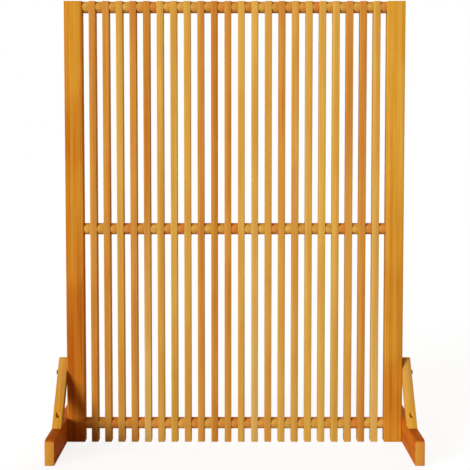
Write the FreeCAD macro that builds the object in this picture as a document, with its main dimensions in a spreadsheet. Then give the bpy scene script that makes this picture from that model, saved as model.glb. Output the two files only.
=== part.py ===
"""Free-standing garden screen: upright slats between two posts on screwed feet.

The slats are kept apart by three rows of turned spacers, one spacer in each gap, and a dowel rod runs
through each row from post to post.  A foot beam lies on the ground at the outer side of each post, and a
sloping brace joins its front half to the post.

Frame: X along the screen, Y from the front (-) to the back (+), Z up.  The origin is on the ground, under
the middle of the screen.  All lengths are in millimetres.
"""
import FreeCAD
import Part
import os
import re
import Sketcher
from enum import IntEnum, auto

# --------------------------------------------------------------------------------------- driving dimensions

SIZES = {
    # panel
    "screen_height": 1800.0,    # posts and slats, from the ground
    "post_width": 73.0,         # along X
    "post_depth": 52.0,         # along Y
    "post_edge": 3.0,           # eased edges of the posts
    "slat_count": 22,
    "slat_width": 28.0,
    "slat_depth": 48.0,
    "slat_edge": 2.0,           # eased edges of the slats
    # spacers and the dowel rods through them
    "gap_width": 26.7,          # spacer length, and so the gap between slats
    "spacer_dia": 47.0,
    "spacer_sides": 22,         # flats round a turned spacer
    "middle_row": 879.0,        # height of the middle row's rod
    "bottom_row": 74.0,         # height of the bottom row's rod
    "rod_dia": 12.0,
    "rod_play": 0.2,            # bore across flats, over the rod's diameter
    "rod_seat": 36.0,           # how far a rod enters each post
    "rod_relief": 1.0,          # space left beyond its end
    "bore_sides": 6,            # flats round a rod's bore
    # feet
    "foot_thickness": 37.0,     # beams and braces, along X
    "beam_length": 700.0,
    "beam_height": 99.0,
    "beam_nose": 20.0,          # radius at the top of each end
    "brace_reach": 159.0,       # from the post's front face to the brace's toe
    "brace_seat": 54.0,         # length of the brace's foot on the beam
    "brace_top": 343.0,         # height of its level top
    "brace_land": 20.0,         # depth of that level top
    # screw down through the brace into the beam
    "pocket_dia": 17.0,
    "pocket_setback": 36.5,     # pocket's centre, behind the brace's toe
    "pocket_floor": 22.0,       # wood left between the pocket and the beam
    "screw_dia": 6.0,
    "screw_head_dia": 12.0,
    "screw_head": 3.6,          # height of the screw's head
    "screw_bite": 55.0,         # how far the screw enters the beam
    "screw_play": 0.4,          # screw holes, over the screw's diameter
    # coach screws through the feet into the posts
    "coach_dia": 10.0,
    "coach_play": 0.6,          # holes in beam and brace, over the coach screw's diameter
    "coach_head": 17.0,         # hexagon head, across flats
    "coach_head_height": 7.0,
    "coach_bite": 43.0,         # how far a coach screw enters the post
    "pilot_play": 0.2,          # bore in the post, over the coach screw's diameter
    "pilot_relief": 3.0,        # space left beyond its end
    "brace_coach_drop": 55.0,   # brace's coach screw, below the brace's top
    "beam_coach_height": 36.0,  # beam's coach screw, above the ground
}

# Derived sizes, written with the names above.
PITCH = "(slat_width + gap_width)"
POST_INNER = f"(({PITCH} * slat_count + gap_width) / 2)"
POST_OUTER = f"({POST_INNER} + post_width)"
TOP_ROW = "(screen_height - spacer_dia / 2)"
ROWS = {"top": TOP_ROW, "middle": "middle_row", "bottom": "bottom_row"}
BORE = "(rod_dia + rod_play)"
BORE_CORNER = f"({BORE} / 2 / cos(180 deg / bore_sides))"
TOE = "(-post_depth / 2 - brace_reach)"
LEAN = "((brace_reach + post_depth - brace_land) / (brace_top - beam_height))"
COACH_HEIGHT = "(brace_top - brace_coach_drop)"
COACH_Y = f"({TOE} + brace_seat / 2 + ({COACH_HEIGHT} - beam_height) * {LEAN})"
COACH_SCREWS = {"brace": (COACH_Y, COACH_HEIGHT), "beam": ("0", "beam_coach_height")}
PILOT_DEPTH = "(coach_bite + pilot_relief)"
POCKET_Y = f"({TOE} + pocket_setback)"
POCKET_Z = "(beam_height + pocket_floor)"

ALONG_X = FreeCAD.Rotation(FreeCAD.Vector(0, 1, 0), 90)
UPWARDS = FreeCAD.Vector(0, 0, 1)
SIDEWAYS = FreeCAD.Vector(1, 0, 0)


class Point(IntEnum):
    """The points of a sketch's element, in the sketcher's numbering."""

    START = auto()
    END = auto()


ROOT_ELEMENT = -1  # the sketch's own axes
ORIGIN = (ROOT_ELEMENT, Point.START)

doc = FreeCAD.newDocument("GardenScreen")
sheet = doc.addObject("Spreadsheet::Sheet", "Sizes")
for row, (alias, size) in enumerate(SIZES.items(), start=1):
    sheet.set(f"A{row}", alias)
    sheet.set(f"B{row}", str(size))
    sheet.setAlias(f"B{row}", alias)
doc.recompute()

subparts = []


# -------------------------------------------------------------------------------------------------- helpers

def in_sheet(formula):
    """The formula with each size name pointing at its cell."""
    return re.sub(r"[a-z_]+", lambda word: f"Sizes.{word[0]}" if word[0] in SIZES else word[0], formula)


def value(formula):
    """What a formula comes to, with the sizes as they are."""
    return float(sheet.evalExpression(in_sheet(formula)))


def bind(item, formulas):
    """Ties properties of a document object to the sheet."""
    for prop, formula in formulas.items():
        item.setExpression(prop, in_sheet(formula))


def at(x="0", y="0", z="0"):
    """Formulas that place an object."""
    return {"Placement.Base.x": x, "Placement.Base.y": y, "Placement.Base.z": z}


def named(item, name):
    """Marks a document object as the sub-part of that name."""
    item.Label = name
    subparts.append(item)
    return item


def new_body(name, place):
    """An empty body at its place."""
    body = doc.addObject("PartDesign::Body", name)
    bind(body, place)
    return body


def feature(body, kind, name, formulas, turned=None):
    """A primitive feature of a body, with its sizes and place tied to the sheet."""
    item = body.newObject(f"PartDesign::{kind}", name)
    if turned:
        item.Placement.Rotation = turned
    bind(item, formulas)
    return item


def edges_along(item, direction, above=-1.0):
    """Names of the edges of a block that run in one direction and lie above a height."""
    doc.recompute()
    names = []
    for number, edge in enumerate(item.Shape.Edges, start=1):
        along = abs(edge.tangentAt(edge.FirstParameter).dot(direction)) > 0.999
        if along and edge.CenterOfMass.z > above:
            names.append(f"Edge{number}")
    return names


def upright(name, place, width, depth, edge):
    """A body with an upright bar centred on its own Z axis, its four long edges eased."""
    body = new_body(name, place)
    block = feature(body, "AdditiveBox", "Bar", {
        "Length": width, "Width": depth, "Height": "screen_height", **at(f"-{width} / 2", f"-{depth} / 2")})
    eased = body.newObject("PartDesign::Chamfer", "EasedEdges")
    eased.Base = (block, edges_along(block, UPWARDS))
    bind(eased, {"Size": edge})
    return body


def rod_bore(body, row, start, length):
    """Cuts the bore of one row's rod, along X.

    These bores repeat in every slat and spacer, so they have a few flats around the rod's running circle.
    """
    return feature(body, "SubtractivePrism", f"RodBore_{row}", {
        "Polygon": "bore_sides", "Circumradius": BORE_CORNER, "Height": length,
        **at(start, "0", ROWS[row])}, ALONG_X)


def origin_item(body, role):
    """One of the body's own origin planes or axes."""
    return next(item for item in body.Origin.OriginFeatures if item.Role == role)


def plane_sketch(body, role, name, corners):
    """A sketch on one of the body's origin planes, with lines from corner to corner."""
    sketch = body.newObject("Sketcher::SketchObject", name)
    sketch.AttachmentSupport = (origin_item(body, role), "")
    sketch.MapMode = "FlatFace"
    points = [FreeCAD.Vector(value(x), value(y)) for x, y in corners]
    for start, end in zip(points, points[1:]):
        sketch.addGeometry(Part.LineSegment(start, end), False)
    for number in range(len(points) - 2):
        sketch.addConstraint(Sketcher.Constraint("Coincident", number, Point.END, number + 1, Point.START))
    return sketch


def measure(sketch, name, kind, first, second, formula):
    """Adds a distance between two points of a sketch, tied to the sheet."""
    number = sketch.addConstraint(Sketcher.Constraint(kind, *first, *second, value(formula)))
    sketch.renameConstraint(number, name)
    bind(sketch, {f"Constraints.{name}": formula})


def mirrored(item, name):
    """The same piece on the left-hand side."""
    twin = doc.addObject("Part::Mirroring", name)
    twin.Source = item
    twin.Normal = FreeCAD.Vector(1, 0, 0)
    return twin


def pair(build, name):
    """Builds a sub-part on the right and its twin on the left."""
    right = named(build("right"), f"right_{name}")
    named(mirrored(right, f"LeftTwin_{name}"), f"left_{name}")


def group(items, name):
    """Identical fasteners as one sub-part of separate solids."""
    compound = doc.addObject("Part::Compound", f"Group_{name}")
    compound.Links = items
    named(compound, name)


# ---------------------------------------------------------------------------------------------------- panel

def make_slat(number):
    """One slat, bored for the three rods."""
    place = at(f"({number} - (slat_count + 1) / 2) * {PITCH}")
    body = upright(f"Slat{number:02d}", place, "slat_width", "slat_depth", "slat_edge")
    for row in ROWS:
        rod_bore(body, row, "-slat_width / 2", "slat_width")
    return body


def make_spacers(row):
    """One row of turned spacers: the first is drawn and the others follow at the slats' pitch."""
    body = new_body(f"Spacers_{row}", at(f"-{PITCH} * slat_count / 2", "0", ROWS[row]))
    body.AllowCompound = True
    drum = feature(body, "AdditivePrism", "Drum", {
        "Polygon": "spacer_sides", "Circumradius": "spacer_dia / 2", "Height": "gap_width",
        **at("-gap_width / 2")}, ALONG_X)
    bore = feature(body, "SubtractivePrism", "Bore", {
        "Polygon": "bore_sides", "Circumradius": BORE_CORNER, "Height": "gap_width",
        **at("-gap_width / 2")}, ALONG_X)
    doc.recompute()
    pattern = body.newObject("PartDesign::LinearPattern", "Row")
    pattern.Originals = [drum, bore]
    pattern.Direction = (origin_item(body, "X_Axis"), [""])
    bind(pattern, {"Length": f"{PITCH} * slat_count", "Occurrences": "slat_count + 1"})
    body.Tip = pattern
    return body


def make_rod(row):
    """A dowel rod, through every slat and spacer of a row and blind into both posts."""
    rod = doc.addObject("Part::Cylinder", f"Rod_{row}")
    rod.Placement.Rotation = ALONG_X
    bind(rod, {
        "Radius": "rod_dia / 2", "Height": f"2 * ({POST_INNER} + rod_seat)",
        **at(f"-{POST_INNER} - rod_seat", "0", ROWS[row])})
    return rod


# ---------------------------------------------------------------------------------------------------- posts

def make_post(side):
    """A post, bored on its inner side for the rods and on its outer side for the coach screws."""
    place = at(f"{POST_INNER} + post_width / 2")
    body = upright(f"Post_{side}", place, "post_width", "post_depth", "post_edge")
    for row in ROWS:
        rod_bore(body, row, "-post_width / 2", "rod_seat + rod_relief")
    for joint, (across, height) in COACH_SCREWS.items():
        feature(body, "SubtractiveCylinder", f"Pilot_{joint}", {
            "Radius": "(coach_dia + pilot_play) / 2", "Height": PILOT_DEPTH,
            **at(f"post_width / 2 - {PILOT_DEPTH}", across, height)}, ALONG_X)
    return body


# ----------------------------------------------------------------------------------------------------- feet

def coach_hole(body, joint):
    """Cuts the clearance hole of one coach screw through a beam or brace."""
    across, height = COACH_SCREWS[joint]
    feature(body, "SubtractiveCylinder", "CoachHole", {
        "Radius": "(coach_dia + coach_play) / 2", "Height": "foot_thickness",
        **at("0", across, height)}, ALONG_X)


def make_beam(side):
    """The floor beam of a foot, with rounded top corners at both ends."""
    body = new_body(f"Beam_{side}", at(POST_OUTER))
    block = feature(body, "AdditiveBox", "Block", {
        "Length": "foot_thickness", "Width": "beam_length", "Height": "beam_height",
        **at("0", "-beam_length / 2")})
    nose = body.newObject("PartDesign::Fillet", "Noses")
    nose.Base = (block, edges_along(block, SIDEWAYS, sheet.beam_height / 2))
    bind(nose, {"Radius": "beam_nose"})
    doc.recompute()
    coach_hole(body, "beam")
    feature(body, "SubtractiveCylinder", "ScrewHole", {
        "Radius": "(screw_dia + screw_play) / 2", "Height": "screw_bite + screw_play",
        **at("foot_thickness / 2", POCKET_Y, "beam_height - screw_bite - screw_play")})
    return body


def make_brace(side):
    """The sloping brace of a foot: it sits on the beam and ends level, flush with the post's back."""
    body = new_body(f"Brace_{side}", at(POST_OUTER))
    toe = (TOE, "beam_height")
    heel = (f"{TOE} + brace_seat", "beam_height")
    knee = ("post_depth / 2", f"beam_height + (post_depth / 2 - {TOE} - brace_seat) / {LEAN}")
    crown = ("post_depth / 2", "brace_top")
    brow = ("post_depth / 2 - brace_land", "brace_top")
    outline = plane_sketch(body, "YZ_Plane", "Outline", [toe, heel, knee, crown, brow, toe])
    seat, back, trim, land, face = range(5)
    outline.addConstraint([
        Sketcher.Constraint("Coincident", face, Point.END, seat, Point.START),
        Sketcher.Constraint("Horizontal", seat),
        Sketcher.Constraint("Parallel", back, face),
        Sketcher.Constraint("Vertical", trim),
        Sketcher.Constraint("Horizontal", land)])
    measure(outline, "reach", "DistanceX", (seat, Point.START), ORIGIN, "brace_reach + post_depth / 2")
    measure(outline, "seat", "DistanceX", (seat, Point.START), (seat, Point.END), "brace_seat")
    measure(outline, "foot", "DistanceY", ORIGIN, (seat, Point.START), "beam_height")
    measure(outline, "back", "DistanceX", ORIGIN, (trim, Point.END), "post_depth / 2")
    measure(outline, "top", "DistanceY", ORIGIN, (trim, Point.END), "brace_top")
    measure(outline, "land", "DistanceX", (land, Point.END), (land, Point.START), "brace_land")
    doc.recompute()
    pad = body.newObject("PartDesign::Pad", "Board")
    pad.Profile = outline
    bind(pad, {"Length": "foot_thickness"})
    doc.recompute()
    coach_hole(body, "brace")
    feature(body, "SubtractiveCylinder", "ScrewPocket", {
        "Radius": "pocket_dia / 2", "Height": "brace_top - beam_height",
        **at("foot_thickness / 2", POCKET_Y, POCKET_Z)})
    feature(body, "SubtractiveCylinder", "ScrewHole", {
        "Radius": "(screw_dia + screw_play) / 2", "Height": "pocket_floor",
        **at("foot_thickness / 2", POCKET_Y, "beam_height")})
    return body


# ------------------------------------------------------------------------------------------------ fasteners

def make_coach_screw(joint):
    """A hexagon-headed coach screw through the foot into the post."""
    body = new_body(f"CoachScrew_{joint}", at(f"{POST_OUTER} + foot_thickness", *COACH_SCREWS[joint]))
    feature(body, "AdditivePrism", "Head", {
        "Polygon": "6", "Circumradius": "coach_head / sqrt(3)", "Height": "coach_head_height"}, ALONG_X)
    feature(body, "AdditiveCylinder", "Shank", {
        "Radius": "coach_dia / 2", "Height": "foot_thickness + coach_bite",
        **at("-foot_thickness - coach_bite")}, ALONG_X)
    return body


def make_screw():
    """The screw in the brace's pocket, down into the beam."""
    body = new_body("Screw", at(f"{POST_OUTER} + foot_thickness / 2", POCKET_Y, POCKET_Z))
    feature(body, "AdditiveCylinder", "Head", {"Radius": "screw_head_dia / 2", "Height": "screw_head"})
    feature(body, "AdditiveCylinder", "Shank", {
        "Radius": "screw_dia / 2", "Height": "pocket_floor + screw_bite",
        **at(z="-pocket_floor - screw_bite")})
    return body


# ------------------------------------------------------------------------------------------------- assembly

pair(make_post, "post")
for number in range(1, int(sheet.slat_count) + 1):
    named(make_slat(number), f"slat_{number:02d}")
for row in ROWS:
    named(make_spacers(row), f"spacers_{row}")
    named(make_rod(row), f"dowel_rod_{row}")
pair(make_beam, "foot_beam")
pair(make_brace, "brace")

for joint in COACH_SCREWS:
    coach_screw = make_coach_screw(joint)
    group([coach_screw, mirrored(coach_screw, f"LeftTwin_{joint}_coach_screw")], f"{joint}_coach_screws")
screw = make_screw()
group([screw, mirrored(screw, "LeftTwin_screw")], "brace_foot_screws")

doc.recompute()

for item in doc.Objects:
    if "Invalid" in item.State or "Error" in item.State:
        raise RuntimeError(f"{item.Label} failed: {item.State}")
for item in subparts:
    if item.Shape.isNull() or not item.Shape.isValid():
        raise RuntimeError(f"{item.Label} has no valid shape")

os.makedirs("parts", exist_ok=True)
for item in subparts:
    item.Shape.exportStep(f"parts/{item.Label}.step")
    print(f"{item.Label}: {len(item.Shape.Solids)} solid(s), {item.Shape.Volume / 1000:.1f} cm3")
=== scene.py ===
"""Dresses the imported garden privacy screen: finer boards, spacers and screws, and oiled wood.

The slats, posts, spacers, foot beams, braces and screws are modelled again inside the space of their CAD
nodes, with eased edges, round bores and turned or forged shapes.  The dowel rods keep their CAD meshes and
get a wood finish.  A pale studio, two soft lamps and a camera stand round them.

Frame: X along the screen, Y from the front (-) to the back (+), Z up.  All lengths are in metres.
"""
from __future__ import annotations

import logging
import math
from dataclasses import dataclass, field
from enum import Enum
from typing import Any, Callable, Iterable

import bpy
from mathutils import Euler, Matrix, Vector

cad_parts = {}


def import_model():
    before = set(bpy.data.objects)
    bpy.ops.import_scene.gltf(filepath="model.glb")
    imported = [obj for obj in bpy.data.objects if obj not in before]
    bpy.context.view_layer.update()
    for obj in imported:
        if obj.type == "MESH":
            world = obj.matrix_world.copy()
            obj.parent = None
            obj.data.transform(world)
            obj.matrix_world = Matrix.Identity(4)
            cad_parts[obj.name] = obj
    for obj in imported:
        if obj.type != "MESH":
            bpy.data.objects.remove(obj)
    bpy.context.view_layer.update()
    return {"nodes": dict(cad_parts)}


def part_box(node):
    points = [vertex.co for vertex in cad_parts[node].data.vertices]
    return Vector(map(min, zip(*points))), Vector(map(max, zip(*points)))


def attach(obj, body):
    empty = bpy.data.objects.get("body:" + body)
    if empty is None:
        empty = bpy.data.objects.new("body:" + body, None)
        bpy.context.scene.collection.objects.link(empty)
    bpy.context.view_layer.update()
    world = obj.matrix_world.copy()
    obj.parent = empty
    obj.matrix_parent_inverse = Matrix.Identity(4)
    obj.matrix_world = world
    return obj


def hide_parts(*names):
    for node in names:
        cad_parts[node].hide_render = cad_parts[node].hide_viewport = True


log = logging.getLogger("garden_screen")

MM = 0.001
HAIR = 0.1 * MM  # how near two places must be to count as one

BODY = "root"
ROWS = ("top", "middle", "bottom")
SLAT_COUNT = 22

# Sizes that several pieces share.
ROD_BORE = 12.2 * MM  # leaves a rod 0.1 mm of play all round
COACH_HOLE = 10.6 * MM  # through beams and braces
SCREW_HOLE = 6.4 * MM
PAN_HEIGHT = 3.6 * MM  # head of a pocket screw

PARALLEL = 0.99  # cosine above which two directions count as one
ACROSS = 0.5  # cosine below which they count as square to each other
SMOOTH_BELOW = math.radians(32)  # edges that turn by more stay sharp

# How the boards are spread over the logs, from one seed to the next.
PITH_TURN = 2.4
PITH_SWAY = 1.7
PITH_DISTANCE = 110.0 * MM
PITH_SPREAD = 30.0 * MM
LOG_STEP = (0.37, 0.61, 1.9)
WIDE = 1.0  # half section of a piece that has no long edge for the painted edge highlight

# Tests on an edge (its middle and direction) or a face (its centre and normal).
PlaceTest = Callable[[Vector, Vector], bool]


# ---------------------------------------------------------------------------------------- materials

class Signal:
    """A value on its way through a node tree. Arithmetic on it adds Math nodes."""

    def __init__(self, sheet: NodeSheet, socket: bpy.types.NodeSocket) -> None:
        """Wraps one output socket."""
        self.sheet = sheet
        self.socket = socket

    def __add__(self, other: Signal | float) -> Signal:
        """This value plus another."""
        return self.sheet.math("ADD", self, other)

    def __sub__(self, other: Signal | float) -> Signal:
        """This value less another."""
        return self.sheet.math("SUBTRACT", self, other)

    def __rsub__(self, other: float) -> Signal:
        """A number less this value."""
        return self.sheet.math("SUBTRACT", other, self)

    def __mul__(self, other: Signal | float) -> Signal:
        """This value times another."""
        return self.sheet.math("MULTIPLY", self, other)

    def __truediv__(self, other: Signal | float) -> Signal:
        """This value divided by another."""
        return self.sheet.math("DIVIDE", self, other)

    def __pow__(self, other: float) -> Signal:
        """This value to a power."""
        return self.sheet.math("POWER", self, other)

    def __abs__(self) -> Signal:
        """This value without its sign."""
        return self.sheet.math("ABSOLUTE", self)

    __radd__ = __add__
    __rmul__ = __mul__


class NodeSheet:
    """Adds nodes to one node tree."""

    def __init__(self, tree: bpy.types.NodeTree) -> None:
        """Takes over a node tree."""
        self.tree = tree

    def node(self, kind: str, settings: dict[str, Any] | None = None,
             sockets: dict[str, Any] | None = None) -> bpy.types.Node:
        """Adds a node.

        Args:
            kind: the node's type.
            settings: its own properties, set before its sockets.
            sockets: a value or a signal for each socket, by the socket's identifier.

        Returns:
            The new node.
        """
        made = self.tree.nodes.new(kind)
        for name, setting in (settings or {}).items():
            setattr(made, name, setting)
        for identifier, value in (sockets or {}).items():
            self.feed(made, identifier, value)
        return made

    def feed(self, node: bpy.types.Node, identifier: str, value: Any) -> None:
        """Fills one input socket.

        Args:
            node: the node.
            identifier: the socket's identifier.
            value: a signal to link to it, or a value to set it to.
        """
        socket = next(item for item in node.inputs if item.identifier == identifier)
        if isinstance(value, Signal):
            self.tree.links.new(value.socket, socket)
        else:
            socket.default_value = value

    def out(self, node: bpy.types.Node, output: int | str = 0) -> Signal:
        """One output of a node, by its number or name, as a signal."""
        return Signal(self, node.outputs[output])

    def math(self, operation: str, *values: Signal | float) -> Signal:
        """The result of a Math node."""
        names = ("Value", "Value_001", "Value_002")
        return self.out(self.node("ShaderNodeMath", {"operation": operation}, dict(zip(names, values))))

    def vector_math(self, operation: str, vector: Signal, other: Any,
                    socket: str = "Vector_001") -> bpy.types.Node:
        """A Vector Math node for a vector and a second value."""
        return self.node("ShaderNodeVectorMath", {"operation": operation}, {"Vector": vector, socket: other})

    def stretch(self, vector: Signal, factors: tuple[float, float, float]) -> Signal:
        """A vector times three factors."""
        return self.out(self.vector_math("MULTIPLY", vector, factors))

    def shift(self, vector: Signal, by: Signal | tuple[float, float, float]) -> Signal:
        """A vector plus another."""
        return self.out(self.vector_math("ADD", vector, by))

    def scale(self, vector: Signal, by: Signal | float) -> Signal:
        """A vector or colour times a number."""
        return self.out(self.vector_math("SCALE", vector, by, "Scale"))

    def blend(self, factor: Signal | float, first: Any, second: Any) -> Signal:
        """A colour between two others."""
        made = self.node("ShaderNodeMix", {"data_type": "RGBA", "clamp_factor": True},
                         {"Factor_Float": factor, "A_Color": first, "B_Color": second})
        return self.out(made, 2)  # all its outputs have one name, and this is the colour

    def ramp(self, value: Signal, low: float, high: float) -> Signal:
        """A smooth step from 0 at low to 1 at high."""
        made = self.node("ShaderNodeMapRange", {"interpolation_type": "SMOOTHSTEP"},
                         {"Value": value, "From Min": low, "From Max": high})
        return self.out(made)

    def noise(self, vector: Signal, detail: float) -> Signal:
        """Soft noise with patches one unit across."""
        made = self.node("ShaderNodeTexNoise", None, {"Vector": vector, "Scale": 1.0, "Detail": detail})
        return self.out(made)

    def chance(self, number: Signal) -> tuple[Signal, Signal]:
        """A random value from 0 to 1 and a random vector for a whole number."""
        made = self.node("ShaderNodeTexWhiteNoise", {"noise_dimensions": "1D"}, {"W": number})
        return self.out(made, "Value"), self.out(made, "Color")

    def split(self, vector: Signal) -> tuple[Signal, Signal, Signal]:
        """The three parts of a vector."""
        made = self.node("ShaderNodeSeparateXYZ", None, {"Vector": vector})
        return self.out(made, 0), self.out(made, 1), self.out(made, 2)


def linear(red: int, green: int, blue: int) -> tuple[float, float, float, float]:
    """A display colour as a shader takes it.

    Args:
        red: from 0 to 255.
        green: from 0 to 255.
        blue: from 0 to 255.

    Returns:
        The opaque linear colour.
    """
    def channel(level: int) -> float:
        """One channel, by the sRGB curve."""
        share = level / 255
        return share / 12.92 if share <= 0.04045 else ((share + 0.055) / 1.055) ** 2.4
    return channel(red), channel(green), channel(blue), 1.0


class Tone(Enum):
    """Heartwood colours of one delivery: the pale streaks and the deep streaks."""

    STRAW = (linear(226, 190, 110), linear(208, 165, 84))
    HONEY = (linear(220, 179, 84), linear(203, 149, 60))
    GOLDEN = (linear(217, 170, 80), linear(200, 140, 58))
    AMBER = (linear(212, 158, 70), linear(194, 124, 48))
    RUSSET = (linear(206, 148, 60), linear(184, 111, 40))
    SAFFRON = (linear(222, 174, 70), linear(202, 140, 34))
    GINGER = (linear(215, 158, 52), linear(184, 98, 15))
    TOFFEE = (linear(208, 132, 42), linear(164, 70, 9))
    CHESTNUT = (linear(202, 122, 34), linear(172, 80, 16))
    DOWEL = (linear(214, 182, 140), linear(196, 160, 116))


class Grain(Enum):
    """Which way a board's grain runs, as the turn that stands it upright."""

    UPRIGHT = (0.0, 0.0, 0.0)
    ALONG_ROW = (0.0, -math.pi / 2, 0.0)
    FRONT_TO_BACK = (math.pi / 2, 0.0, 0.0)


@dataclass(frozen=True)
class Board:
    """Where a piece of wood lies and how it was cut."""

    name: str
    centre: Vector
    half: tuple[float, float]  # half its section, across the grain
    tones: tuple[Tone, Tone]  # at the two ends of its grain, the lower or left one first
    length: float
    seed: int  # picks its tree and its place in the log
    turn: tuple[float, float, float] = Grain.UPRIGHT.value
    pitch: float = 0.0  # distance from one turned piece to the next, in a row of them

    def pith(self) -> tuple[float, float]:
        """Where the middle of its tree lies, seen from the board's own middle."""
        angle = PITH_TURN * self.seed
        distance = PITH_DISTANCE + PITH_SPREAD * math.sin(PITH_SWAY * self.seed)
        return distance * math.cos(angle), distance * math.sin(angle)

    def log_corner(self) -> tuple[float, float, float]:
        """Where in the log it was cut, so that no two boards have the same grain."""
        across, deep, along = LOG_STEP
        return across * self.seed, deep * self.seed, along * self.seed


@dataclass(frozen=True)
class Figure:
    """A pattern in the wood, drawn out along the grain."""

    across: float  # patches per metre of a board's width
    along: float  # patches per metre of its length
    detail: float = 2.0
    edge: tuple[float, float] | None = None  # noise below the first counts as 0, above the second as 1

    def on(self, sheet: NodeSheet, place: Signal) -> Signal:
        """The pattern's value at a place in the log."""
        noise = sheet.noise(sheet.stretch(place, (self.across, self.across, self.along)), self.detail)
        return noise if self.edge is None else sheet.ramp(noise, *self.edge)


@dataclass(frozen=True)
class OiledWood:
    """Planed hardwood with a satin coat of oil."""

    streaks: Figure = Figure(72.0, 1.1, edge=(0.4, 0.6))
    strands: Figure = Figure(230.0, 2.6, edge=(0.38, 0.62))  # the finer streaks between them
    drift: Figure = Figure(12.0, 3.6, edge=(0.36, 0.64))  # broad deeper patches
    fibres: Figure = Figure(620.0, 9.0, detail=3.0)
    pores: Figure = Figure(1500.0, 55.0, detail=1.0, edge=(0.64, 0.72))
    depths: tuple[float, float, float, float] = (0.42, 0.2, 0.1, 0.28)  # of streaks, strands, rings, drift

    ring_width: float = 13.0 * MM
    ring_wander: Figure = Figure(14.0, 1.1)
    ring_stray: float = 30.0 * MM  # how far a ring leaves its circle

    change: Figure = Figure(6.0, 2.5, detail=1.0)  # where one end's tone gives way to the other's
    change_stray: float = 0.4  # these three are shares of the board's length
    change_from: float = -0.3
    change_to: float = 0.5

    arris: float = 3.5 * MM  # width of the painted highlight along the long edges
    edge_highlight: float = 0.3  # how much paler the painted edge highlight makes them
    sawn: tuple[float, float, float, float] = linear(216, 154, 64)  # fresh saw cuts across the grain
    sawn_share: float = 0.85
    sawn_facing: tuple[float, float] = (0.6, 0.95)  # how squarely a face looks along the grain
    deepest: tuple[float, float, float, float] = linear(207, 126, 54)  # of the pieces in a row
    deepest_share: float = 0.85
    log_spread: float = 9.0  # how far apart in the log the pieces in a row were cut, in metres

    shade: float = 0.92  # brightness where there are neither fibres nor pores
    fibre_shine: float = 0.16
    pore_shade: float = 0.18
    gloss: float = 0.05
    roughness: tuple[float, float] = (0.6, 0.74)
    pore_roughness: float = 0.1
    relief: float = 0.12 * MM
    relief_strength: float = 0.5
    relief_of_fibres: float = 0.6
    relief_of_rings: float = 0.3

    def material(self, board: Board) -> bpy.types.Material:
        """The finish of one board, with its own piece of the log.

        Args:
            board: the piece of wood.

        Returns:
            A new material.
        """
        material = bpy.data.materials.new(f"{board.name}_wood")
        material.use_nodes = True
        sheet = NodeSheet(material.node_tree)
        shader = material.node_tree.nodes["Principled BSDF"]
        own, log_place, tint = self._places(sheet, board)
        streaks, strands, drift, fibres, pores = (figure.on(sheet, log_place) for figure in (
            self.streaks, self.strands, self.drift, self.fibres, self.pores))
        rings = self._rings(sheet, own, log_place, board)

        pale, deep = self._ends(sheet, own, log_place, board)
        of_streaks, of_strands, of_rings, of_drift = self.depths
        depth = streaks * of_streaks + strands * of_strands + rings * of_rings + drift * of_drift
        colour = sheet.blend(depth, pale, deep)
        if tint is not None:
            colour = sheet.blend(tint, colour, self.deepest)
        # painted highlight: the long edges are blended towards the pale tone
        colour = sheet.blend(self._edge_highlight_mask(sheet, own, board) * self.edge_highlight, colour, pale)
        colour = sheet.blend(self._end_grain(sheet, board) * self.sawn_share, colour, self.sawn)
        colour = sheet.scale(colour, self.shade + fibres * self.fibre_shine - pores * self.pore_shade)

        sheet.feed(shader, "Base Color", colour)
        smooth, rough = self.roughness
        sheet.feed(shader, "Roughness", smooth + fibres * (rough - smooth) + pores * self.pore_roughness)
        shader.inputs["Specular IOR Level"].default_value = self.gloss
        relief = sheet.node("ShaderNodeBump", None, {
            "Strength": self.relief_strength,
            "Distance": self.relief,
            "Height": fibres * self.relief_of_fibres - pores + rings * self.relief_of_rings})
        sheet.feed(shader, "Normal", sheet.out(relief))
        return material

    def _places(self, sheet: NodeSheet, board: Board) -> tuple[Signal, Signal, Signal | None]:
        """Coordinates for the patterns.

        Args:
            sheet: the material's nodes.
            board: the piece of wood.

        Returns:
            The place on the board with its grain along Z, the place in the log, and the share of a deeper
            tint where the piece is a row of separate ones.
        """
        place = sheet.out(sheet.node("ShaderNodeTexCoord"), "Object")
        turn = Euler(board.turn)
        centre = board.centre.copy()
        centre.rotate(turn)
        mapping = sheet.node("ShaderNodeMapping", None, {
            "Vector": place, "Location": tuple(-centre), "Rotation": tuple(turn)})
        own = sheet.out(mapping)
        log_place = sheet.shift(own, board.log_corner())
        if not board.pitch:
            return own, log_place, None
        number = sheet.math("ROUND", sheet.split(own)[2] / board.pitch)
        chance, elsewhere = sheet.chance(number + float(board.seed))
        tint = sheet.ramp(chance, 0.0, 1.0) * self.deepest_share
        return own, sheet.shift(log_place, sheet.scale(elsewhere, self.log_spread)), tint

    def _ends(self, sheet: NodeSheet, own: Signal, log_place: Signal,
              board: Board) -> tuple[Signal, Signal]:
        """The two colours of the streaks, which change slowly from one end of the board to the other.

        Args:
            sheet: the material's nodes.
            own: the place on the board.
            log_place: the place in the log.
            board: the piece of wood.

        Returns:
            The pale colour and the deep one.
        """
        stray = self.change.on(sheet, log_place) * board.length * self.change_stray
        along = sheet.split(own)[2] + stray
        share = sheet.ramp(along, self.change_from * board.length, self.change_to * board.length)
        (low_pale, low_deep), (high_pale, high_deep) = (tone.value for tone in board.tones)
        return sheet.blend(share, low_pale, high_pale), sheet.blend(share, low_deep, high_deep)

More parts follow.
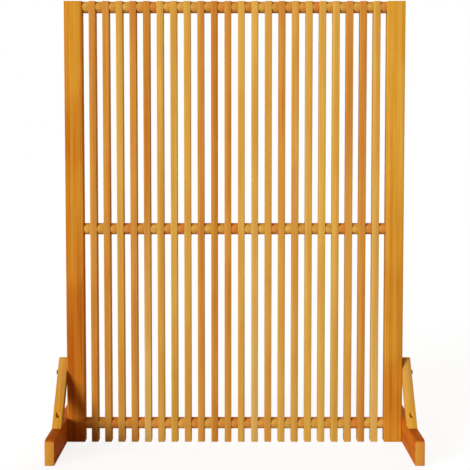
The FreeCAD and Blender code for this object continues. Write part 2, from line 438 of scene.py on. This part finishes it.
    def _rings(self, sheet: NodeSheet, own: Signal, log_place: Signal, board: Board) -> Signal:
        """Growth rings round the pith.

        Args:
            sheet: the material's nodes.
            own: the place on the board.
            log_place: the place in the log.
            board: the piece of wood.

        Returns:
            0 in early wood, rising to 1 in late wood.
        """
        right, deep, _ = sheet.split(own)
        away, beside = board.pith()
        radius = ((right + away) ** 2 + (deep + beside) ** 2) ** 0.5
        wander = self.ring_wander.on(sheet, log_place)
        return sheet.math("FRACT", (radius + wander * self.ring_stray) / self.ring_width) ** 2

    def _edge_highlight_mask(self, sheet: NodeSheet, own: Signal, board: Board) -> Signal:
        """Where a highlight is painted along the long edges.

        Args:
            sheet: the material's nodes.
            own: the place on the board.
            board: the piece of wood.

        Returns:
            1 along the board's long edges and 0 elsewhere.
        """
        right, deep, _ = sheet.split(own)
        wide, thick = board.half
        beside = sheet.ramp(abs(right), wide - self.arris, wide - self.arris / 4)
        behind = sheet.ramp(abs(deep), thick - self.arris, thick - self.arris / 4)
        return beside * behind

    def _end_grain(self, sheet: NodeSheet, board: Board) -> Signal:
        """Where the surface is cut across the grain.

        Args:
            sheet: the material's nodes.
            board: the piece of wood.

        Returns:
            1 on the cut faces and 0 elsewhere.
        """
        along = Vector((0.0, 0.0, 1.0))
        along.rotate(Euler(board.turn).to_matrix().inverted())
        normal = sheet.out(sheet.node("ShaderNodeTexCoord"), "Normal")
        facing = sheet.out(sheet.vector_math("DOT_PRODUCT", normal, tuple(along)), "Value")
        return sheet.ramp(abs(facing), *self.sawn_facing)


@dataclass(frozen=True)
class ZincSteel:
    """Weathered yellow zinc on forged steel."""

    bright: tuple[float, float, float, float] = linear(136, 126, 102)
    dark: tuple[float, float, float, float] = linear(86, 78, 60)
    mottle: float = 420.0  # patches per metre
    mottle_edge: tuple[float, float] = (0.35, 0.65)
    specks: float = 2600.0
    roughness: float = 0.34
    mottle_roughness: float = 0.22
    relief: float = 0.05 * MM
    relief_strength: float = 0.3

    def material(self, name: str) -> bpy.types.Material:
        """The finish, with the mottle of the plating.

        Args:
            name: what the material is called.

        Returns:
            A new material.
        """
        material = bpy.data.materials.new(name)
        material.use_nodes = True
        sheet = NodeSheet(material.node_tree)
        shader = material.node_tree.nodes["Principled BSDF"]
        place = sheet.out(sheet.node("ShaderNodeTexCoord"), "Object")
        mottle = sheet.noise(sheet.stretch(place, (self.mottle,) * 3), detail=3.0)
        specks = sheet.noise(sheet.stretch(place, (self.specks,) * 3), detail=1.0)
        patches = sheet.ramp(mottle, *self.mottle_edge)
        sheet.feed(shader, "Base Color", sheet.blend(patches, self.bright, self.dark))
        sheet.feed(shader, "Roughness", self.roughness + mottle * self.mottle_roughness)
        shader.inputs["Metallic"].default_value = 1.0
        relief = sheet.node("ShaderNodeBump", None, {
            "Strength": self.relief_strength, "Distance": self.relief, "Height": specks})
        sheet.feed(shader, "Normal", sheet.out(relief))
        return material


# -------------------------------------------------------------------------------------------- bench

class Element(Enum):
    """What is picked in edit mode."""

    EDGE = "EDGE"
    FACE = "FACE"


class Joinery(Enum):
    """How a tool works on a piece."""

    CUT = "DIFFERENCE"
    JOIN = "UNION"
    KEEP = "INTERSECT"


class Bench:
    """Shapes pieces with Blender's own modelling operators."""

    @staticmethod
    def alone(piece: bpy.types.Object) -> None:
        """Makes a piece the only one selected, and the active one."""
        bpy.ops.object.select_all(action="DESELECT")
        piece.select_set(True)
        bpy.context.view_layer.objects.active = piece

    @classmethod
    def settled(cls, name: str) -> bpy.types.Object:
        """Moves the active object's place into its mesh.

        Args:
            name: what the object and its mesh are called.

        Returns:
            The object, at the origin and the only one selected.
        """
        piece = bpy.context.active_object
        piece.name = name
        piece.data.name = name
        cls.alone(piece)
        bpy.ops.object.transform_apply(location=True, rotation=True, scale=True)
        return piece

    @classmethod
    def block(cls, name: str, low: Vector, high: Vector) -> bpy.types.Object:
        """A sawn block between two corners."""
        bpy.ops.object.select_all(action="DESELECT")
        bpy.ops.mesh.primitive_cube_add(size=1.0, location=(low + high) / 2, scale=high - low)
        return cls.settled(name)

    @classmethod
    def bar(cls, name: str, start: Vector, end: Vector, radius: float, sides: int = 48,
            end_radius: float | None = None) -> bpy.types.Object:
        """A round or many-sided bar.

        Args:
            name: the new object's name.
            start: the middle of its first end.
            end: the middle of its other end.
            radius: its radius, to the corners.
            sides: flats round it.
            end_radius: its radius at the other end, where that differs.

        Returns:
            The new object.
        """
        bpy.ops.object.select_all(action="DESELECT")
        along = end - start
        bpy.ops.mesh.primitive_cone_add(
            vertices=sides, radius1=radius, radius2=radius if end_radius is None else end_radius,
            depth=along.length, location=(start + end) / 2, rotation=along.to_track_quat("Z", "X").to_euler())
        return cls.settled(name)

    @classmethod
    def shank(cls, tip: Vector, shoulder: Vector, end: Vector, diameter: float, tip_diameter: float,
              sides: int) -> bpy.types.Object:
        """A screw's shank, with a point that widens from its tip to its shoulder.

        Args:
            tip: the middle of its small end.
            shoulder: where it reaches its full width.
            end: the middle of its other end, inside the head.
            diameter: its full width.
            tip_diameter: its width at the tip.
            sides: flats round it.

        Returns:
            The new object.
        """
        shank = cls.bar("Shank", tip, shoulder, tip_diameter / 2, sides, end_radius=diameter / 2)
        along = end - shoulder
        way = along.normalized()
        cls.pick(shank, Element.FACE, lambda centre, normal: normal.dot(way) > PARALLEL)
        bpy.ops.mesh.extrude_region_move(TRANSFORM_OT_translate={"value": tuple(along)})
        bpy.ops.object.mode_set(mode="OBJECT")
        return shank

    @classmethod
    def pick(cls, piece: bpy.types.Object, element: Element, test: PlaceTest) -> None:
        """Opens a piece in edit mode with only some of its edges or faces selected.

        Args:
            piece: the piece.
            element: whether edges or faces are picked.
            test: what picks them.
        """
        cls.alone(piece)
        bpy.ops.object.mode_set(mode="EDIT")
        bpy.ops.mesh.select_mode(type=element.value)
        bpy.ops.mesh.select_all(action="DESELECT")
        bpy.ops.object.mode_set(mode="OBJECT")
        points = piece.data.vertices
        if element is Element.FACE:
            for face in piece.data.polygons:
                face.select = test(face.center, face.normal)
        else:
            for edge in piece.data.edges:
                first, second = (points[number].co for number in edge.vertices)
                edge.select = test((first + second) / 2, (second - first).normalized())
        bpy.ops.object.mode_set(mode="EDIT")

    @classmethod
    def round_edges(cls, piece: bpy.types.Object, test: PlaceTest, radius: float, steps: int) -> None:
        """Rounds the edges that pass a test, in so many steps."""
        cls.pick(piece, Element.EDGE, test)
        bpy.ops.mesh.bevel(offset=radius, segments=steps, affect="EDGES")
        bpy.ops.object.mode_set(mode="OBJECT")

    @classmethod
    def ease(cls, piece: bpy.types.Object, radius: float, steps: int = 2, above: float = 60.0) -> None:
        """Rounds every sharp edge.

        Args:
            piece: the piece.
            radius: how far the rounding reaches from the edge.
            steps: faces across the rounding.
            above: how many degrees an edge turns by at least.
        """
        cls.alone(piece)
        easing = piece.modifiers.new("Easing", "BEVEL")
        easing.width = radius
        easing.segments = steps
        easing.limit_method = "ANGLE"
        easing.angle_limit = math.radians(above)
        bpy.ops.object.modifier_apply(modifier=easing.name)

    @classmethod
    def cut(cls, piece: bpy.types.Object, point: Vector, outward: Vector) -> None:
        """Saws off what lies beyond a plane, given by a point and its outward side, and closes the cut."""
        cls.pick(piece, Element.FACE, lambda centre, normal: True)
        bpy.ops.mesh.bisect(plane_co=point, plane_no=outward, use_fill=True, clear_outer=True)
        bpy.ops.object.mode_set(mode="OBJECT")

    @classmethod
    def combine(cls, piece: bpy.types.Object, tool: bpy.types.Object, how: Joinery) -> None:
        """Works on a piece with a tool, and clears the tool away.

        Args:
            piece: the piece.
            tool: a closed solid.
            how: whether the tool is cut away, joined on, or marks what is kept.
        """
        cls.alone(piece)
        step = piece.modifiers.new("Joinery", "BOOLEAN")
        step.operation = how.value
        step.solver = "EXACT"
        step.object = tool
        bpy.ops.object.modifier_apply(modifier=step.name)
        bpy.data.objects.remove(tool)

    @classmethod
    def bore(cls, piece: bpy.types.Object, start: Vector, end: Vector, diameter: float,
             sides: int = 32) -> None:
        """Bores a round hole from one point to another."""
        cls.combine(piece, cls.bar("Bit", start, end, diameter / 2, sides), Joinery.CUT)

    @classmethod
    def copy(cls, piece: bpy.types.Object, name: str, move: Vector) -> bpy.types.Object:
        """Makes another piece of the same shape, with its own mesh.

        Args:
            piece: the first piece.
            name: the new object's name.
            move: from the first piece's place to the new one's.

        Returns:
            The new object.
        """
        cls.alone(piece)
        bpy.ops.object.duplicate(linked=False)
        twin = bpy.context.active_object
        twin.location = move
        return cls.settled(name)

    @classmethod
    def join(cls, pieces: Iterable[bpy.types.Object], name: str) -> bpy.types.Object:
        """Makes several separate pieces one object.

        Args:
            pieces: the pieces.
            name: the one object's name.

        Returns:
            The one object.
        """
        bpy.ops.object.select_all(action="DESELECT")
        for piece in pieces:
            piece.select_set(True)
            bpy.context.view_layer.objects.active = piece
        bpy.ops.object.join()
        return cls.settled(name)

    @classmethod
    def dress(cls, piece: bpy.types.Object, material: bpy.types.Material, node: str, slot: str) -> None:
        """Finishes a piece and puts it in the place of its CAD node.

        Args:
            piece: the modelled piece.
            material: its finish.
            node: the CAD node that it stands for.
            slot: a material slot's name; not used.
        """
        cls.alone(piece)
        bpy.ops.object.shade_smooth_by_angle(angle=SMOOTH_BELOW)
        piece.data.materials.clear()
        piece.data.materials.append(material)
        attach(piece, BODY)
        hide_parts(node)
        log.info("%s: %d faces, for %s", piece.name, len(piece.data.polygons), node)


def middle(node: str) -> Vector:
    """The middle of a CAD node's box."""
    low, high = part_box(node)
    return (low + high) / 2


def half_section(node: str) -> tuple[float, float]:
    """Half the width and depth of an upright board."""
    low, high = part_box(node)
    return (high.x - low.x) / 2, (high.y - low.y) / 2


def height(node: str) -> float:
    """How tall a CAD node is."""
    low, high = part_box(node)
    return high.z - low.z


def upright_edge(centre: Vector, direction: Vector) -> bool:
    """Whether an edge runs upwards."""
    return abs(direction.z) > PARALLEL


class Side(Enum):
    """The two ends of the screen, as the sign of X."""

    LEFT = -1
    RIGHT = 1

    @property
    def word(self) -> str:
        """The side's name, as in the CAD nodes."""
        return self.name.lower()


# -------------------------------------------------------------------------------------------- panel

@dataclass
class Slats:
    """The upright slats, each bored for the three rods."""

    arris: float = 2.0 * MM
    end_arris: float = 0.8 * MM
    bore: float = ROD_BORE
    wood: OiledWood = OiledWood()
    above: dict[Tone, tuple[int, ...]] = field(default_factory=lambda: {
        Tone.RUSSET: (5, 10),
        Tone.AMBER: (1, 2, 4, 9, 11, 15, 20, 21),
        Tone.GOLDEN: (14, 16),
    })
    below: dict[Tone, tuple[int, ...]] = field(default_factory=lambda: {
        Tone.AMBER: (1, 2, 4, 9, 10, 11, 21),
        Tone.GOLDEN: (3, 6, 8, 14, 16, 20),
        Tone.STRAW: (5, 13, 22),
    })

    def build(self) -> None:
        """Models one slat, then copies it to every place."""
        pattern = self.pattern()
        start = middle("slat_01")
        for number in range(1, SLAT_COUNT + 1):
            node = f"slat_{number:02d}"
            slat = Bench.copy(pattern, f"screen_{node}", middle(node) - start)
            tones = self.tone(number, self.below), self.tone(number, self.above)
            board = Board(slat.name, middle(node), half_section(node), tones, height(node), number)
            Bench.dress(slat, self.wood.material(board), node, "slat_wood")
        bpy.data.objects.remove(pattern)

    @staticmethod
    def tone(number: int, others: dict[Tone, tuple[int, ...]]) -> Tone:
        """The colour of one slat: honey, or the one that the slat is listed under."""
        return next((tone for tone, numbers in others.items() if number in numbers), Tone.HONEY)

    def pattern(self) -> bpy.types.Object:
        """Planes, eases and bores the first slat.

        Returns:
            The slat that the others are copied from.
        """
        low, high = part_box("slat_01")
        slat = Bench.block("slat_pattern", low, high)
        Bench.round_edges(slat, upright_edge, self.arris, steps=3)
        Bench.ease(slat, self.end_arris)
        for row in ROWS:
            level = middle(f"dowel_rod_{row}").z
            Bench.bore(slat, Vector((low.x - MM, 0.0, level)), Vector((high.x + MM, 0.0, level)), self.bore)
        return slat


@dataclass
class SpacerRows:
    """Turned spacers, one in each gap, in three rows."""

    length: float = 26.7 * MM
    bore: float = ROD_BORE
    arris: float = 1.0 * MM
    sides: int = 56
    seed_step: int = 31
    wood: OiledWood = OiledWood(streaks=Figure(70.0, 9.0, edge=(0.4, 0.6)), arris=0.0)

    def build(self) -> None:
        """Models the spacers of each row as one piece of separate solids."""
        for number, row in enumerate(ROWS, start=1):
            node = f"spacers_{row}"
            low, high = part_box(node)
            pitch = (high.x - low.x - self.length) / SLAT_COUNT
            start = Vector((low.x, 0.0, middle(node).z))
            spacer = self.turned(start, (high.y - low.y) / 2)
            rank = [Bench.copy(spacer, f"spacer_{place}", Vector((pitch * place, 0.0, 0.0)))
                    for place in range(1, SLAT_COUNT + 1)]
            joined = Bench.join([spacer, *rank], f"spacer_row_{row}")
            board = Board(joined.name, middle(node), (WIDE, WIDE), (Tone.HONEY, Tone.HONEY), high.x - low.x,
                          self.seed_step * number, Grain.ALONG_ROW.value, pitch)
            Bench.dress(joined, self.wood.material(board), node, "spacer_wood")

    def turned(self, start: Vector, radius: float) -> bpy.types.Object:
        """One spacer with eased rims and a bore.

        Args:
            start: the middle of its left end.
            radius: its outer radius.

        Returns:
            The spacer at the left end of its row.
        """
        end = start + Vector((self.length, 0.0, 0.0))
        spacer = Bench.bar("spacer", start, end, radius, self.sides)
        Bench.round_edges(spacer, lambda centre, way: abs(way.x) < ACROSS, self.arris, steps=2)
        Bench.pick(spacer, Element.FACE, lambda centre, normal: abs(normal.x) > PARALLEL)
        bpy.ops.mesh.inset(thickness=radius - self.arris - self.bore / 2)
        bpy.ops.mesh.bridge_edge_loops()
        bpy.ops.object.mode_set(mode="OBJECT")
        return spacer


@dataclass
class Rods:
    """The dowel rods inside the rows, which keep their CAD meshes."""

    nodes: dict[str, bpy.types.Object]
    first_seed: int = 90
    wood: OiledWood = OiledWood(arris=0.0)

    def build(self) -> None:
        """Gives each rod its finish."""
        for number, row in enumerate(ROWS, start=1):
            name = f"dowel_rod_{row}"
            low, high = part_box(name)
            board = Board(name, middle(name), (WIDE, WIDE), (Tone.DOWEL, Tone.DOWEL), high.x - low.x,
                          self.first_seed + number, Grain.ALONG_ROW.value)
            material = self.wood.material(board)
            for slot in self.nodes[name].material_slots:
                slot.material = material
            log.info("%s: CAD mesh, dressed", name)


# -------------------------------------------------------------------------------------------- posts

@dataclass
class Posts:
    """The two posts, bored for the rods and the coach screws."""

    arris: float = 3.0 * MM
    end_arris: float = 1.0 * MM
    rod_bore: float = ROD_BORE
    pilot: float = 10.2 * MM
    relief: float = 3.0 * MM  # space beyond a coach screw's end
    seed: int = 60  # between the two posts' own
    wood: OiledWood = OiledWood()
    tones: dict[Side, tuple[Tone, Tone]] = field(default_factory=lambda: {
        Side.LEFT: (Tone.TOFFEE, Tone.GINGER),
        Side.RIGHT: (Tone.GINGER, Tone.SAFFRON),
    })

    def build(self) -> None:
        """Models both posts."""
        for side in Side:
            node = f"{side.word}_post"
            post = self.planed(side, node)
            board = Board(post.name, middle(node), half_section(node), self.tones[side], height(node),
                          self.seed + side.value)
            Bench.dress(post, self.wood.material(board), node, "post_wood")

    def planed(self, side: Side, node: str) -> bpy.types.Object:
        """Planes, eases and bores one post.

        Args:
            side: which end of the screen it stands at.
            node: its CAD node.

        Returns:
            The post.
        """
        low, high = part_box(node)
        post = Bench.block(f"screen_{node}", low, high)
        Bench.round_edges(post, upright_edge, self.arris, steps=4)
        Bench.ease(post, self.end_arris)
        inner = low.x if side is Side.RIGHT else high.x
        for row in ROWS:
            rod_low, rod_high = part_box(f"dowel_rod_{row}")
            tip = side.value * (rod_high.x - rod_low.x) / 2
            level = middle(f"dowel_rod_{row}").z
            Bench.bore(post, Vector((inner - side.value * MM, 0.0, level)),
                       Vector((tip + side.value * MM, 0.0, level)), self.rod_bore)
        for screw in CoachScrews.places(side):
            deepest = screw.tip - Vector((side.value * self.relief, 0.0, 0.0))
            Bench.bore(post, deepest, screw.seat, self.pilot)
        return post


# --------------------------------------------------------------------------------------------- feet

@dataclass
class Beams:
    """The foot beams on the ground, with rounded noses."""

    nose: float = 20.0 * MM
    arris: float = 1.6 * MM
    seed: int = 70  # between the two beams' own
    wood: OiledWood = OiledWood()

    def build(self) -> None:
        """Models both beams."""
        for side in Side:
            node = f"{side.word}_foot_beam"
            beam = self.shaped(side, node)
            low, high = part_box(node)
            half = (high.x - low.x) / 2, (high.z - low.z) / 2
            board = Board(beam.name, middle(node), half, (Tone.CHESTNUT, Tone.CHESTNUT), high.y - low.y,
                          self.seed + side.value, Grain.FRONT_TO_BACK.value)
            Bench.dress(beam, self.wood.material(board), node, "foot_wood")

    def shaped(self, side: Side, node: str) -> bpy.types.Object:
        """Rounds, eases and bores one beam.

        Args:
            side: which end of the screen it stands at.
            node: its CAD node.

        Returns:
            The beam.
        """
        low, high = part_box(node)
        beam = Bench.block(f"screen_{node}", low, high)
        level = (low.z + high.z) / 2
        Bench.round_edges(beam, lambda centre, way: abs(way.x) > PARALLEL and centre.z > level,
                          self.nose, steps=10)
        Bench.ease(beam, self.arris)
        CoachScrews.places(side)[1].clear(beam, high.x - low.x)
        across, deep = middle(node).x, middle("brace_foot_screws").y
        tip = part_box("brace_foot_screws")[0].z - MM / 2
        Bench.bore(beam, Vector((across, deep, tip)), Vector((across, deep, high.z + MM)), SCREW_HOLE)
        return beam


@dataclass
class Braces:
    """The sloping braces between the beams and the posts."""

    seat: float = 54.0 * MM  # length of the foot on the beam
    land: float = 20.0 * MM  # depth of the level top
    arris: float = 1.6 * MM
    pocket: float = 17.0 * MM
    seed: int = 80  # between the two braces' own
    wood: OiledWood = OiledWood()

    def build(self) -> None:
        """Models both braces."""
        for side in Side:
            node = f"{side.word}_brace"
            brace = self.sawn(side, node)
            low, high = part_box(node)
            lean = math.atan2(high.y - self.land - low.y, high.z - low.z)
            half = (high.x - low.x) / 2, WIDE
            board = Board(brace.name, middle(node), half, (Tone.SAFFRON, Tone.GOLDEN), height(node),
                          self.seed + side.value, (lean, 0.0, 0.0))
            Bench.dress(brace, self.wood.material(board), node, "foot_wood")

    def sawn(self, side: Side, node: str) -> bpy.types.Object:
        """Saws one brace to its slopes, then eases, bores and pockets it.

        Args:
            side: which end of the screen it stands at.
            node: its CAD node.

        Returns:
            The brace.
        """
        low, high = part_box(node)
        brace = Bench.block(f"screen_{node}", low, high)
        slope = Vector((0.0, high.y - self.land - low.y, high.z - low.z))
        forward = Vector((0.0, -slope.z, slope.y)).normalized()
        Bench.cut(brace, Vector((0.0, low.y, low.z)), forward)
        Bench.cut(brace, Vector((0.0, low.y + self.seat, low.z)), -forward)
        Bench.ease(brace, self.arris, above=25.0)
        CoachScrews.places(side)[0].clear(brace, high.x - low.x)
        across, deep = middle(node).x, middle("brace_foot_screws").y
        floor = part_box("brace_foot_screws")[1].z - PAN_HEIGHT
        Bench.bore(brace, Vector((across, deep, floor)), Vector((across, deep, high.z)), self.pocket,
                   sides=48)
        Bench.bore(brace, Vector((across, deep, low.z - MM)), Vector((across, deep, floor + MM)), SCREW_HOLE)
        return brace


# ---------------------------------------------------------------------------------------- fasteners

@dataclass
class ScrewPlace:
    """Where one coach screw sits."""

    seat: Vector  # middle of the head's underside
    tip: Vector
    outward: Vector

    def clear(self, foot: bpy.types.Object, thickness: float) -> None:
        """Bores a beam or a brace through for the screw's shank."""
        inner = self.seat - self.outward * (thickness + MM)
        Bench.bore(foot, self.seat + self.outward * MM, inner, COACH_HOLE)


@dataclass
class CoachScrews:
    """Hexagon-headed coach screws through the feet into the posts."""

    head_flats: float = 17.0 * MM
    head_height: float = 7.0 * MM
    shank: float = 10.0 * MM
    face: float = 0.94  # turned face of the head, as a share of its width across flats
    chamfer: float = 30.0  # slope of the turned corners, in degrees
    point: float = 3.0 * MM
    tip: float = 2.4 * MM
    bite: float = 43.0 * MM  # how far it enters the post
    steel: ZincSteel = ZincSteel()

    @classmethod
    def places(cls, side: Side) -> list[ScrewPlace]:
        """Where the screws of one side sit, from their CAD nodes.

        Args:
            side: the left or the right end of the screen.

        Returns:
            The brace's screw and the beam's screw.
        """
        outward = Vector((side.value, 0.0, 0.0))
        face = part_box("right_post")[1].x
        found = []
        for joint in ("brace", "beam"):
            low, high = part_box(f"{joint}_coach_screws")
            axis = Vector((0.0, (low.y + high.y) / 2, (low.z + high.z) / 2))
            seat = axis + outward * (high.x - cls.head_height)
            found.append(ScrewPlace(seat, axis + outward * (face - cls.bite), outward))
        return found

    def build(self) -> None:
        """Models the screws, a left and a right one to each CAD node."""
        for index, joint in enumerate(("brace", "beam")):
            screws = [self.forged(f"coach_screw_{side.word}", self.places(side)[index]) for side in Side]
            piece = Bench.join(screws, f"hex_coach_screws_{joint}")
            steel = self.steel.material(f"{piece.name}_zinc")
            Bench.dress(piece, steel, f"{joint}_coach_screws", "zinc_steel")

    def forged(self, name: str, place: ScrewPlace) -> bpy.types.Object:
        """Makes one coach screw: a hexagon with a turned face, and a pointed shank.

        Args:
            name: the new object's name.
            place: where it sits.

        Returns:
            The screw.
        """
        top = place.seat + place.outward * self.head_height
        head = Bench.bar(name, place.seat, top, self.head_flats / math.sqrt(3), sides=6)
        face = self.head_flats / 2 * self.face
        flare = math.tan(math.radians(90.0 - self.chamfer))
        over = place.outward * MM
        turning = Bench.bar("Turning", place.seat - over, top + over, face + (self.head_height + MM) * flare,
                            sides=64, end_radius=face - MM * flare)
        Bench.combine(head, turning, Joinery.KEEP)
        shoulder = place.tip + place.outward * self.point
        shank = Bench.shank(place.tip, shoulder, place.seat + over, self.shank, self.tip, sides=32)
        Bench.combine(head, shank, Joinery.JOIN)
        return head


@dataclass
class FootScrews:
    """Pan-headed screws in the braces' pockets, down into the beams."""

    head: float = 12.0 * MM
    head_height: float = PAN_HEIGHT
    shank: float = 6.0 * MM
    dome: float = 1.6 * MM
    recess: float = 6.4 * MM
    recess_width: float = 1.5 * MM
    recess_depth: float = 2.0 * MM
    point: float = 5.0 * MM
    tip: float = 0.8 * MM
    steel: ZincSteel = ZincSteel()

    def build(self) -> None:
        """Models both screws as one piece of separate solids."""
        low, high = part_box("brace_foot_screws")
        deep = (low.y + high.y) / 2
        screws = []
        for side in Side:
            top = Vector((middle(f"{side.word}_brace").x, deep, high.z))
            screws.append(self.turned(f"foot_screw_{side.word}", top, high.z - low.z))
        piece = Bench.join(screws, "pocket_screws")
        Bench.dress(piece, self.steel.material("pocket_screws_zinc"), "brace_foot_screws", "zinc_steel")

    def turned(self, name: str, top: Vector, length: float) -> bpy.types.Object:
        """One screw with a domed head and a cross recess.

        Args:
            name: the new object's name.
            top: the middle of the head's top.
            length: the screw's whole length.

        Returns:
            The screw.
        """
        up = Vector((0.0, 0.0, 1.0))
        under = top - up * self.head_height
        screw = Bench.bar(name, under, top, self.head / 2, sides=40)
        Bench.round_edges(screw, lambda centre, way: abs(way.z) < ACROSS and centre.z > top.z - HAIR,
                          self.dome, steps=4)
        shoulder = top - up * (length - self.point)
        shank = Bench.shank(top - up * length, shoulder, under + up * MM, self.shank, self.tip, sides=24)
        Bench.combine(screw, shank, Joinery.JOIN)
        for wide, thick in ((self.recess, self.recess_width), (self.recess_width, self.recess)):
            reach = Vector((wide / 2, thick / 2, self.recess_depth))
            slot = Bench.block("Slot", top - reach, top + reach)
            Bench.combine(screw, slot, Joinery.CUT)
        return screw


# ------------------------------------------------------------------------------------------- studio

@dataclass(frozen=True)
class Lamp:
    """A far soft lamp, by the degrees that it stands round from the front and above the floor."""

    name: str
    azimuth: float  # 0 in front of the screen, 90 to its right
    elevation: float
    strength: float
    softness: float  # how wide it looks, in degrees
    distance: float = 6.0  # for the eye alone, as its light is the same from anywhere

    def place(self) -> None:
        """Adds the lamp."""
        turn, lift = math.radians(self.azimuth), math.radians(self.elevation)
        towards = Vector((math.sin(turn) * math.cos(lift), -math.cos(turn) * math.cos(lift), math.sin(lift)))
        bpy.ops.object.light_add(type="SUN", location=towards * self.distance,
                                 rotation=towards.to_track_quat("Z", "Y").to_euler())
        lamp = bpy.context.active_object
        lamp.name = self.name
        lamp.data.energy = self.strength
        lamp.data.angle = math.radians(self.softness)
        lamp.visible_glossy = False  # no hot spots on the oil


@dataclass
class Studio:
    """A pale floor, a white surround, two soft lamps and the camera."""

    ambient: tuple[float, float, float, float] = (0.30, 0.18, 0.13, 1.0)  # warm, as in a room full of wood
    white: tuple[float, float, float, float] = (1.0, 1.0, 1.0, 1.0)
    floor_paint: tuple[float, float, float, float] = (0.78, 0.90, 0.95, 1.0)  # neutral in the warm light
    floor_bounce: tuple[float, float, float, float] = (0.43, 0.39, 0.37, 1.0)  # as the screen sees it
    floor_size: float = 60.0
    floor_drop: float = 0.2 * MM
    floor_shadow: float = 0.25  # share of the floor's look that real light makes
    floor_glow: float = 1.14  # the rest of it, which makes the lit floor just white
    lamps: tuple[Lamp, ...] = (
        Lamp("KeyLamp", azimuth=-45.0, elevation=11.0, strength=3.3, softness=28.0),
        Lamp("BackLamp", azimuth=168.0, elevation=24.0, strength=2.2, softness=28.0),
    )
    camera_place: Vector = field(default_factory=lambda: Vector((-0.0033, -4.331, 1.239)))
    camera_tilt: float = 3.317  # degrees below level
    lens: float = 81.28
    shift: tuple[float, float] = (0.00249, -0.07)

    def build(self) -> None:
        """Sets up everything round the screen."""
        bpy.context.scene.view_settings.view_transform = "Standard"
        self.surround()
        self.floor()
        for lamp in self.lamps:
            lamp.place()
        self.camera()
        log.info("studio: %d lamps, floor and camera", len(self.lamps))

    @staticmethod
    def seen(sheet: NodeSheet) -> Signal:
        """What the camera sees, straight or in gloss or glass.

        Args:
            sheet: the nodes of the floor or the surround.

        Returns:
            1 for what it sees, and 0 for light on the screen.
        """
        path = sheet.node("ShaderNodeLightPath")
        direct, gloss, through = (sheet.out(path, name) for name in (
            "Is Camera Ray", "Is Glossy Ray", "Is Transmission Ray"))
        return sheet.math("MAXIMUM", sheet.math("MAXIMUM", direct, gloss), through)

    def surround(self) -> None:
        """A white surround that lights the screen only at the ambient level."""
        world = bpy.context.scene.world or bpy.data.worlds.new("Surround")
        bpy.context.scene.world = world
        world.use_nodes = True
        world.node_tree.nodes.clear()
        sheet = NodeSheet(world.node_tree)
        colour = sheet.blend(self.seen(sheet), self.ambient, self.white)
        glow = sheet.node("ShaderNodeBackground", None, {"Color": colour})
        sheet.node("ShaderNodeOutputWorld", None, {"Surface": sheet.out(glow)})

    def floor(self) -> None:
        """A pale floor that looks white and keeps a faint shadow."""
        bpy.ops.object.select_all(action="DESELECT")
        bpy.ops.mesh.primitive_plane_add(size=self.floor_size, location=(0.0, 0.0, -self.floor_drop))
        floor = Bench.settled("studio_floor")
        material = bpy.data.materials.new("studio_floor_paint")
        material.use_nodes = True
        material.node_tree.nodes.clear()
        sheet = NodeSheet(material.node_tree)
        seen = self.seen(sheet)
        colour = sheet.blend(seen, self.floor_bounce, self.floor_paint)
        paint = sheet.node("ShaderNodeBsdfDiffuse", None, {"Color": colour})
        white = sheet.node("ShaderNodeEmission", None, {"Strength": self.floor_glow})
        look = sheet.node("ShaderNodeMixShader", None, {
            "Fac": seen * (1.0 - self.floor_shadow),
            "Shader": sheet.out(paint), "Shader_001": sheet.out(white)})
        sheet.node("ShaderNodeOutputMaterial", None, {"Surface": sheet.out(look)})
        floor.data.materials.append(material)

    def camera(self) -> None:
        """The camera in front of the screen, at chest height, looking slightly down."""
        bpy.ops.object.camera_add(location=self.camera_place,
                                  rotation=(math.radians(90.0 - self.camera_tilt), 0.0, 0.0))
        camera = bpy.context.active_object
        camera.data.lens = self.lens
        camera.data.shift_x, camera.data.shift_y = self.shift
        bpy.context.scene.camera = camera


def main() -> None:
    """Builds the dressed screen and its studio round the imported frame."""
    logging.basicConfig(level=logging.INFO, format="%(message)s")
    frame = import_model()
    for assembly in (Slats(), SpacerRows(), Rods(frame["nodes"]), Posts(), Beams(), Braces(), CoachScrews(),
                     FootScrews(), Studio()):
        assembly.build()


if __name__ == "__main__":
    main()
